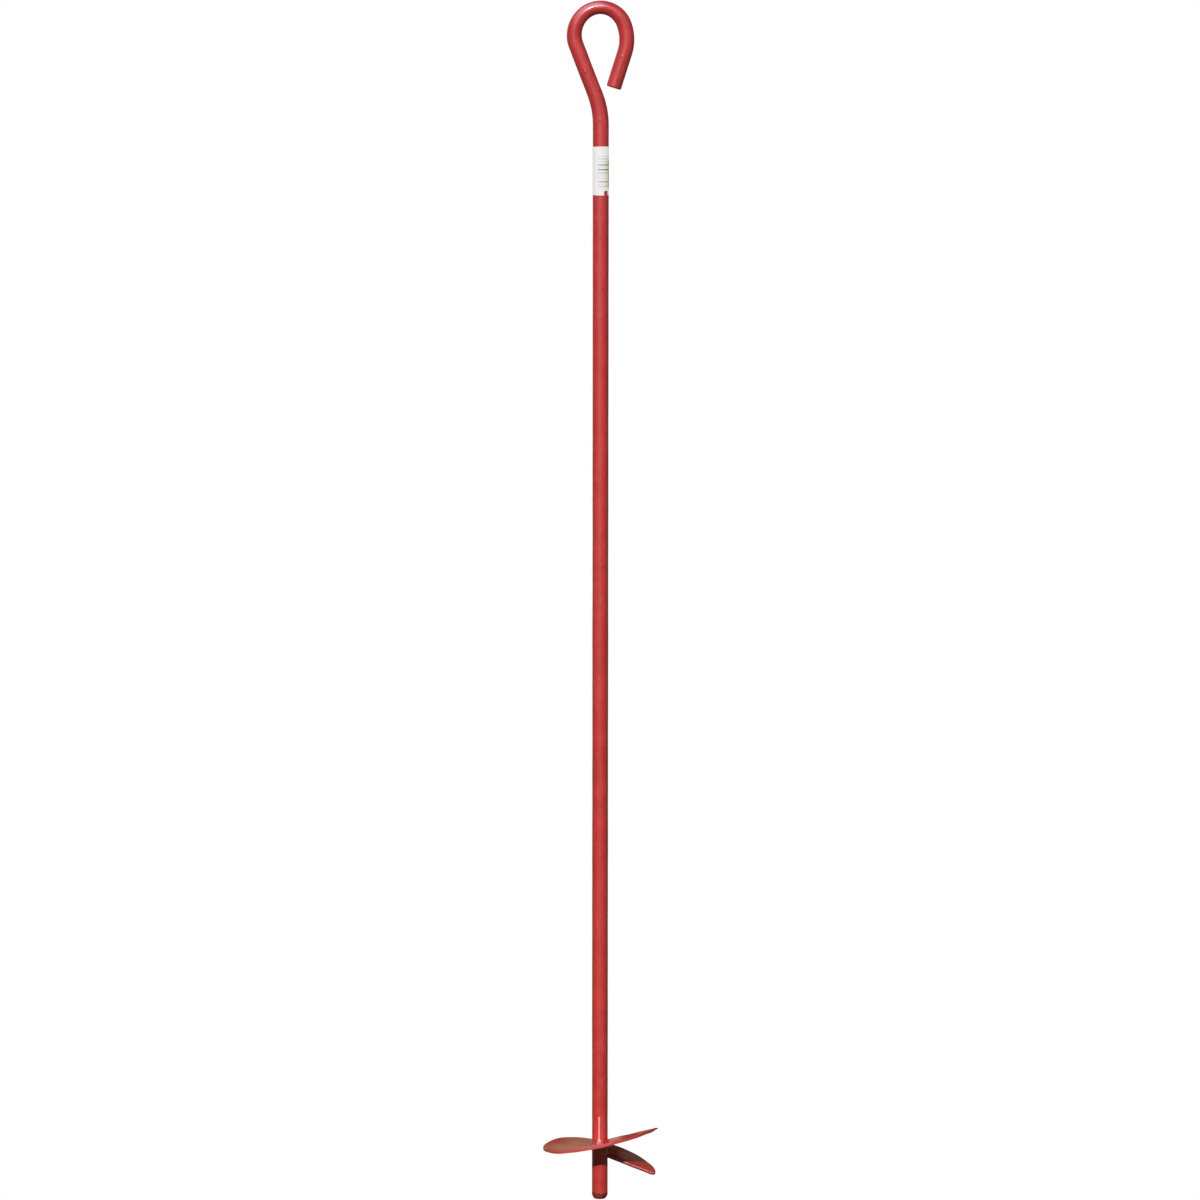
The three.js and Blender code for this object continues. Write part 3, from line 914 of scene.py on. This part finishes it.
def plate_enamel():
    """The same enamel on the plate, with sheared edges paler from wear and painted highlight, dull
    patches, and painted shade, light and reflection on its faces.
    """
    mat = Nodes(bpy.data.materials.new("plate_enamel"))
    place = mat.object_mm()
    x, y, z = mat.split(place)
    edge, depth = mat.attribute("edge_face"), mat.attribute("depth")
    face = mat.math("SUBTRACT", 1.0, edge)

    mottle = mat.noise(place, scale=0.07, detail=4, roughness=0.6)
    grit = mat.noise(place, scale=1.2, detail=3, roughness=0.6)
    speck = mat.fall(mat.cells(place, scale=0.24), 0.05, 0.15)
    speck = mat.times(speck, mat.rise(mat.noise(place, scale=0.10, detail=1), 0.54, 0.62))
    colour = mat.mix(RED_DEEP, RED, mat.rise(mottle, 0.3, 0.7))
    pale_grit = mat.span(grit, over=(0.4, 0.75), to=(0.0, 0.30))
    colour = mat.mix(colour, RED_PALE, pale_grit)
    colour = mat.mix(colour, (0.75, 0.18, 0.15), speck, strength=0.4)
    # shear marks run through the thickness, so they are stretched that way
    run = mat.times(mat.add(mat.attribute("around"), mat.attribute("along")), 1.0)
    marks = mat.vector(run, mat.times(depth, 0.3))
    shear = mat.noise(marks, scale=0.8, detail=3, roughness=0.6)
    colour = mat.mix(colour, sheared_colour(mat, shear, depth), edge, strength=0.92)

    # dents, orange peel and shear marks
    dents = mat.noise(place, scale=0.10, detail=3)
    peel = mat.noise(place, scale=0.8, detail=3, roughness=0.55)
    normal = mat.bump(dents, strength=0.22, distance=0.0014)
    normal = mat.bump(peel, strength=0.10, distance=0.0004, normal=normal)
    normal = mat.bump(mat.times(edge, shear), strength=0.35, distance=0.0004, normal=normal)
    coat = mat.bump(mat.noise(place, scale=0.07, detail=2), strength=0.14, distance=0.0014)

    # dull patches where the gloss is gone, with a wandering outline: across the
    # upper blade, on it next to the bar, on the lower blade and round the left rim
    stray = mat.span(mat.noise(place, scale=0.05, detail=1), over=(0.25, 0.75), to=(-2.5, 2.5))
    stray_x = mat.add(x, stray)
    high, low = mat.rise(z, 49.5, 51.5), mat.fall(z, 43.0, 45.0)
    upper = mat.times(mat.band(stray_x, rise=(12.0, 21.0), fall=(29.0, 44.0)), high)
    near = mat.times(mat.band(stray_x, rise=(6.0, 9.0), fall=(17.0, 21.0)), high)
    slant = mat.lowered(stray_x, y, by=0.13)
    lower = mat.times(mat.rise(stray_x, 2.0, 5.0), mat.fall(slant, 12.0, 22.0), low)
    radius = mat.math("SQRT", mat.add(mat.squared(x), mat.squared(y)))
    outer = mat.times(mat.rise(radius, 38.5, 45.5), mat.fall(x, -30.0, -12.0))
    # the sheared faces are half dull but for a glint at the front
    glint = mat.band(x, rise=(-11.0, -7.0), fall=(-3.0, 1.0))
    glint = mat.times(glint, mat.rise(y, -42.0, -45.0))
    dull_edge = mat.times(edge, mat.lowered(0.50, glint, by=0.50))
    dull = mat.maximum(upper, lower, mat.times(near, 0.42), mat.times(outer, 0.60), dull_edge)

    # painted shade: darker in the upper patch and along the right of the upper rim
    colour = mat.mix(colour, (0.360, 0.019, 0.013), mat.times(upper, 0.40), strength=face)
    right_rim_painted_shade = mat.times(mat.rise(x, 6.0, 24.0), edge, high)
    colour = mat.mix(colour, (0.42, 0.030, 0.026), right_rim_painted_shade, strength=0.45)
    # painted light: brighter red towards the leading corner
    lead_painted_light = mat.times(mat.rise(x, 20.0, 42.0), low)
    colour = mat.mix(colour, (0.820, 0.060, 0.034), mat.times(lead_painted_light, 0.8), strength=face)
    # painted reflection: a pale tan ragged ellipse at the back left, 10.5 by 4.2 mm in half-axes
    tan_reflection_x = mat.math("DIVIDE", mat.add(x, 18.0), 10.5)
    tan_reflection_y = mat.math("DIVIDE", mat.math("SUBTRACT", y, 15.5), 4.2)
    ragged = mat.noise(place, scale=0.22, detail=3, roughness=0.6)
    ragged = mat.span(ragged, over=(0.3, 0.7), to=(-0.4, 0.4))
    off_tan_reflection = mat.add(mat.squared(tan_reflection_x), mat.squared(tan_reflection_y), ragged)
    tan_reflection = mat.fall(off_tan_reflection, 0.0, 1.9)
    colour = mat.mix(colour, (0.78, 0.46, 0.32), tan_reflection, strength=0.20)
    mat.principled(
        Base_Color=colour, IOR=ENAMEL_IOR,
        Roughness=mat.add(0.40, mat.span(grit, over=(0.3, 0.8), to=(0.0, 0.10))),
        Specular_IOR_Level=mat.lowered(0.5, dull, by=0.48),
        Coat_Weight=mat.lowered(1.0, dull, by=0.98),
        Coat_Roughness=0.17, Coat_IOR=COAT_IOR,
        Normal=normal, Coat_Normal=coat,
    )
    return mat.owner


def weld_enamel():
    """The enamel over the weld beads, with dark pits in patches."""
    mat = Nodes(bpy.data.materials.new("weld_enamel"))
    place = mat.object_mm()
    grit = mat.noise(place, scale=0.9, detail=4, roughness=0.6)
    pits = mat.fall(mat.cells(place, scale=0.55), 0.05, 0.2)
    pits = mat.times(pits, mat.rise(mat.noise(place, scale=0.3, detail=1), 0.5, 0.6))
    colour = mat.mix(RED_DEEP, RED, mat.rise(grit, 0.3, 0.7))
    colour = mat.mix(colour, (0.22, 0.02, 0.014), pits, strength=0.6)
    normal = mat.bump(grit, strength=0.25, distance=0.0005)
    normal = mat.bump(pits, strength=-0.5, distance=0.0003, normal=normal)
    mat.principled(
        Base_Color=colour, Roughness=0.42, IOR=ENAMEL_IOR,
        Coat_Weight=0.9, Coat_Roughness=0.18, Coat_IOR=COAT_IOR, Normal=normal,
    )
    return mat.owner


# printed bars: bottom and top in mm up the label, darkness
LABEL_BARS = (
    (5.3, 5.6, 0.35), (6.4, 6.7, 0.45), (7.5, 8.0, 0.75), (9.1, 9.4, 0.40),
    (10.9, 11.8, 0.85), (12.8, 13.1, 0.35), (14.0, 14.3, 0.40), (15.2, 15.6, 0.35),
    (16.7, 17.0, 0.40), (18.4, 19.0, 0.80), (20.9, 22.0, 1.0), (23.5, 23.8, 0.45),
    (24.9, 25.9, 0.95), (27.0, 27.2, 0.35), (28.1, 28.5, 0.55), (30.2, 30.7, 0.70),
    (32.2, 32.6, 0.50),
)


def label_film():
    """White printed film with a plain generic ladder of bars and no lettering."""
    mat = Nodes(bpy.data.materials.new("label_film"))
    around, z = mat.attribute("around"), mat.attribute("along")
    place = mat.vector(around, z)
    front = 1.5 * math.pi * BAR_R  # the place round the bar that faces -Y
    # past the right side the count goes on beyond a full turn
    right_side = mat.math("LESS_THAN", around, math.pi * BAR_R)
    wrapped = mat.add(around, mat.times(right_side, 2 * math.pi * BAR_R))

    # the printed field runs from just left of the front to round the right side
    bars = [mat.times(mat.between(z, low, high), dark) for low, high, dark in LABEL_BARS]
    ink = mat.times(mat.maximum(*bars), mat.between(wrapped, front - 2.0, front + 12.0))
    # a hairline down the left of the bars
    hairline = mat.between(around, front - 2.45, front - 2.2)
    hairline = mat.times(hairline, mat.between(z, 10.5, 26.5))
    wear = mat.noise(place, scale=0.8, detail=3, roughness=0.6)
    wear = mat.span(wear, over=(0.30, 0.62), to=(0.72, 1.0))
    ink = mat.times(mat.maximum(ink, mat.times(hairline, 0.4)), wear)

    # paper: two whites, a yellow painted reflection under the right of the bars, faint fibres
    tone = mat.noise(place, scale=0.12, detail=3, roughness=0.6)
    paper = mat.mix((0.765, 0.765, 0.765), (0.81, 0.81, 0.80), mat.rise(tone, 0.3, 0.7))
    warm_painted_reflection = mat.band(wrapped, rise=(front + 1.5, front + 7.0), fall=(front + 12.0, front + 13.5))
    barred = mat.times(mat.rise(z, 5.0, 8.0), mat.rise(z, 31.0, 28.5))
    paper = mat.mix(paper, (0.70, 0.67, 0.42), mat.times(warm_painted_reflection, barred), strength=0.9)
    fibre = mat.noise(place, scale=2.5, detail=2)
    fibre_mask = mat.span(fibre, over=(0.3, 0.8), to=(0.0, 0.10))
    paper = mat.mix(paper, (0.62, 0.62, 0.61), fibre_mask)
    # grubby line where the adhesive has picked up dust
    from_edge = mat.math("MINIMUM", z, mat.math("SUBTRACT", LABEL_HEIGHT, z))
    grubby = mat.span(from_edge, over=(0.0, 0.8), to=(0.30, 0.0))
    paper = mat.mix(paper, (0.60, 0.42, 0.38), grubby)

    # painted shade: the ink darkens to the right, and a dark column of painted shade closes the
    # field there
    ink = mat.times(ink, mat.span(wrapped, over=(front, front + 6.5), to=(0.74, 1.0)))
    colour = mat.mix(paper, (0.030, 0.028, 0.022), ink, strength=0.92)
    column = mat.band(wrapped, rise=(front + 6.6, front + 8.0), fall=(front + 9.0, front + 9.8))
    column = mat.times(column, barred)
    colour = mat.mix(colour, (0.10, 0.09, 0.055), column, strength=0.55)
    normal = mat.bump(mat.noise(place, scale=0.35, detail=3), strength=0.12, distance=0.0004)
    normal = mat.bump(fibre, strength=0.05, distance=0.0001, normal=normal)
    # painted light: the paper glows with its own colour, which flattens its shading, and its lit
    # colour is dimmed to match
    mat.principled(
        Base_Color=mat.mix(colour, (0.38, 0.38, 0.38), 1.0, blend="MULTIPLY"),
        Roughness=0.55, IOR=1.45, Normal=normal,
        Emission_Color=colour, Emission_Strength=0.69,
    )
    mat.not_a_lamp()
    return mat.owner


# =====================================================================
# build the object
# =====================================================================
bar = build_bar()
plate = build_plate()
weld_top = build_weld(
    "upper_weld_bead_rippled", side=1, rise=4.6, sizes=UPPER_WELD, seed=41, ripple=0.07
)
weld_low = build_weld(
    "lower_weld_bead_rippled", side=-1, rise=4.3, sizes=LOWER_WELD, seed=47, ripple=0.20
)
label = build_label()

materials = {make.__name__: make() for make in (bar_enamel, plate_enamel, weld_enamel, label_film)}
for ob, node, slot in (
    (bar, "eye_rod", "bar_enamel"),
    (plate, "helix_plate", "plate_enamel"),
    (weld_top, "upper_weld_bead", "weld_enamel"),
    (weld_low, "lower_weld_bead", "weld_enamel"),
    (label, "barcode_label", "label_film"),
):
    ob.data.materials.append(materials[slot])
    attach(ob, "root")
    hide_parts(node)


# =====================================================================
# stage, light and camera
# =====================================================================
# surroundings as reflections see them
GROUND = (0.105, 0.095, 0.055)
SKY_LOW = (0.050, 0.052, 0.060)
SKY_HIGH = (0.080, 0.085, 0.115)
BACK_DARK = (0.135, 0.085, 0.054)
BACK_TAN = (0.400, 0.272, 0.160)
BACK_BRIGHT = (0.78, 0.68, 0.52)
PANEL_RIGHT = (0.50, 0.55, 0.66)
PANEL_FRONT = (4.2, 5.4, 7.0)
PANEL_LEFT = (1.6, 3.0, 4.2)
# surroundings as scattered light sees them
EVEN_LEFT = (0.080, 0.077, 0.074)
EVEN_RIGHT = (0.118, 0.114, 0.110)
EVEN_BACK = (0.300, 0.290, 0.280)
EVEN_TOP = (0.050, 0.050, 0.055)

KEY = {"azimuth": -11.0, "elevation": 27.8}
KEY_STRENGTH = 3.25
KEY_ANGLE = 1.3  # degrees across
KEY_COLOUR = (1.0, 0.985, 0.975)


def towards(azimuth, elevation):
    """Unit direction in degrees; azimuth 0 is the camera side, positive to +X."""
    azimuth, elevation = math.radians(azimuth), math.radians(elevation)
    level = math.cos(elevation)
    return (math.sin(azimuth) * level, -math.cos(azimuth) * level, math.sin(elevation))


def surroundings(nodes, direction):
    """Colour of the surroundings along a direction, for everything but the camera."""

    def facing(azimuth, elevation):
        """Cosine of the angle to a direction."""
        dot = nodes.node("ShaderNodeVectorMath", operation="DOT_PRODUCT")
        nodes.put(dot.inputs[0], direction)
        dot.inputs[1].default_value = towards(azimuth, elevation)
        return dot.outputs["Value"]

    rise, fall, times, mix = nodes.rise, nodes.fall, nodes.times, nodes.mix
    x, y, z = nodes.split(direction)
    colour = mix(SKY_LOW, SKY_HIGH, rise(z, 0.10, 0.9))
    colour = mix(GROUND, colour, rise(z, -0.04, 0.14))
    back = rise(y, 0.45, 0.85)
    # behind: dark to the right, tan in the middle, bright to the left
    right = times(rise(y, 0.10, 0.6), rise(x, -0.01, 0.12), fall(z, 0.35, 0.70))
    colour = mix(colour, BACK_DARK, right)
    middle = times(back, fall(x, 0.05, 0.14), rise(z, -0.30, -0.12), fall(z, 0.20, 0.40))
    colour = mix(colour, BACK_TAN, middle)
    left = times(back, fall(x, -0.12, 0.00), rise(z, -0.03, 0.09), fall(z, 0.30, 0.50))
    colour = mix(colour, BACK_BRIGHT, left)
    # soft pale panels: right front, high to the left, and high in front
    colour = mix(colour, PANEL_RIGHT, rise(facing(azimuth=48, elevation=22), 0.90, 0.97))
    colour = mix(colour, PANEL_LEFT, rise(facing(azimuth=-62, elevation=62), 0.80, 0.93))
    front = times(rise(facing(azimuth=-6, elevation=43), 0.915, 0.975), rise(z, 0.50, 0.62))
    colour = mix(colour, PANEL_FRONT, front)
    # for light scattered by the enamel: low all round, more from right and behind
    even = mix(EVEN_LEFT, EVEN_RIGHT, rise(x, -0.6, 0.9))
    even = mix(even, EVEN_TOP, rise(z, 0.05, 0.5))
    even = mix(even, EVEN_BACK, times(rise(y, 0.30, 0.90), fall(z, 0.10, 0.35)))
    path = nodes.node("ShaderNodeLightPath")
    return mix(colour, even, path.outputs["Is Diffuse Ray"])


def four_sided(name, corners):
    """An object of one face, with corners in metres."""
    mesh = bpy.data.meshes.new(name)
    mesh.from_pydata(corners, [], [(0, 1, 2, 3)])
    return link_object(name, mesh)


def stage_floor():
    half, z = 60.0, -0.0006
    floor = four_sided("floor", [(-half, -half, z), (half, -half, z), (half, half, z),
                                 (-half, half, z)])
    mat = Nodes(bpy.data.materials.new("floor_pale"))
    incoming = mat.node("ShaderNodeNewGeometry").outputs["Incoming"]
    colour = surroundings(mat, mat.scaled(incoming, -1.0))
    mat.white_to_camera("ShaderNodeEmission", colour)
    mat.not_a_lamp()
    floor.data.materials.append(mat.owner)


def stage_card():
    """A small unseen upright card behind the bar, only casting a shadow: it keeps the
    key off the back of the lower blade."""
    left, right, y, bottom, top = 0.004, 0.027, 0.009, 0.044, 0.063
    card = four_sided("card", [(left, y, bottom), (right, y, bottom), (right, y, top),
                               (left, y, top)])
    mat = Nodes(bpy.data.materials.new("card_grey"))
    mat.principled(Base_Color=(0.2, 0.2, 0.2), Roughness=0.9)
    card.data.materials.append(mat.owner)
    for ray in ("camera", "diffuse", "glossy", "transmission", "volume_scatter"):
        setattr(card, "visible_" + ray, False)


def make_world():
    world = bpy.data.worlds.new("studio")
    bpy.context.scene.world = world
    nodes = Nodes(world, "ShaderNodeOutputWorld")
    direction = nodes.node("ShaderNodeTexCoord").outputs["Generated"]
    nodes.white_to_camera("ShaderNodeBackground", surroundings(nodes, direction))
    # these settings are only there when Cycles is enabled
    if hasattr(world, "cycles"):
        world.cycles.sampling_method = "NONE"


def key_sun(name):
    light = bpy.data.lights.new(name, "SUN")
    light.energy = KEY_STRENGTH
    light.angle = math.radians(KEY_ANGLE)
    light.color = KEY_COLOUR
    lamp = link_object(name, light)
    direction = Vector(towards(**KEY))
    lamp.location = direction * 3.0 + Vector((0, 0, 0.5))
    lamp.rotation_euler = direction.to_track_quat("Z", "Y").to_euler()
    return lamp


def make_lights():
    """The key, split in two: its mirror image is kept off the plate, whose tops would
    burn out to white when seen from behind."""
    key_sun("key").visible_glossy = False
    shine = key_sun("key_shine")
    shine.visible_diffuse = False
    takers = bpy.data.collections.new("shine_takers")
    for ob in (bar, weld_top, weld_low, label):
        takers.objects.link(ob)
    shine.light_linking.receiver_collection = takers


def make_camera():
    """A long lens in front of the bar, tilted down and very slightly rolled."""
    data = bpy.data.cameras.new("camera")
    data.sensor_width = 36.0
    data.sensor_fit = "HORIZONTAL"
    data.lens = 142.719
    data.clip_start = 0.1
    data.clip_end = 200.0
    data.shift_x = -0.000275
    tilt, roll = 5.4485, 0.055  # degrees
    camera = link_object("camera", data)
    camera.matrix_world = (
        Matrix.Translation((0, -4.0, 0.895))
        @ Euler((math.radians(90 - tilt), 0, 0)).to_matrix().to_4x4()
        @ Matrix.Rotation(math.radians(roll), 4, "Z")
    )
    bpy.context.scene.camera = camera


stage_floor()
stage_card()
make_world()
make_lights()
make_camera()

view = bpy.context.scene.view_settings
view.view_transform = "Standard"
view.look = "None"
view.exposure = 0.0
view.gamma = 1.0
